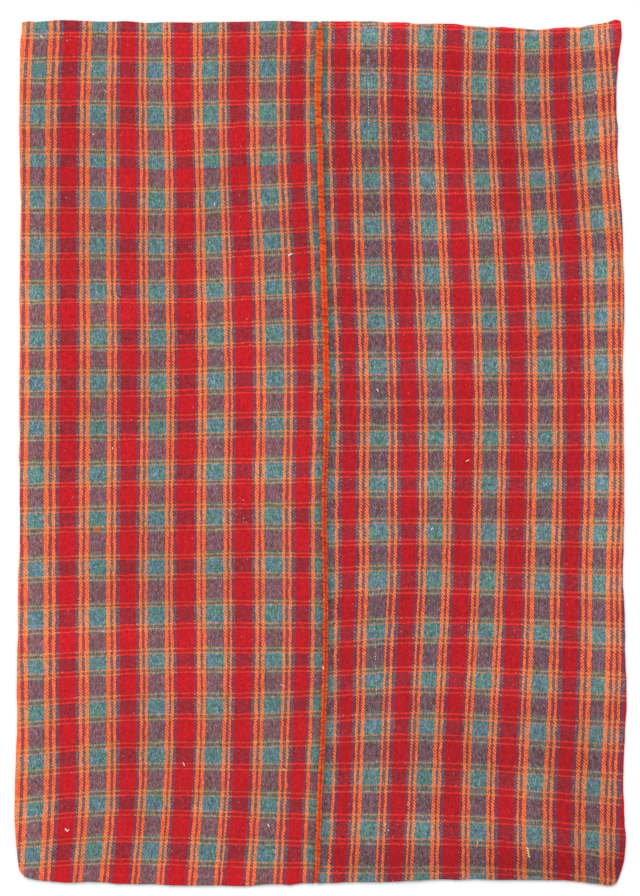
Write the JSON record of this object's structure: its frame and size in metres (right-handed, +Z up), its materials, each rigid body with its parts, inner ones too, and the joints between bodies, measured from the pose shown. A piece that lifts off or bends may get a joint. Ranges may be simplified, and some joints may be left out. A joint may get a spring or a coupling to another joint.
{
  "type": "jajim blanket",
  "caption": "Handwoven wool blanket lying flat: checked twill strips joined lengthwise by a raised whipped seam, with turned-under ends and outer selvedges.",
  "frame": {"origin": "centre of the blanket's box, on the surface that it lies on", "axes": "+Y along the warp, towards the head end with the pointed corner; +X across to the right as seen from above; +Z up out of the face"},
  "size_m": [1.27, 1.7992, 0.0053],
  "materials": {
    "cloth": "matte wool twill, checked in red, teal, orange and navy",
    "seam_thread": "matte orange wool thread, whipped over the join"
  },
  "bodies": {
    "root": {"panel_left": "cloth", "panel_right": "cloth", "join_seam": "seam_thread"}
  },
  "joints": []
}
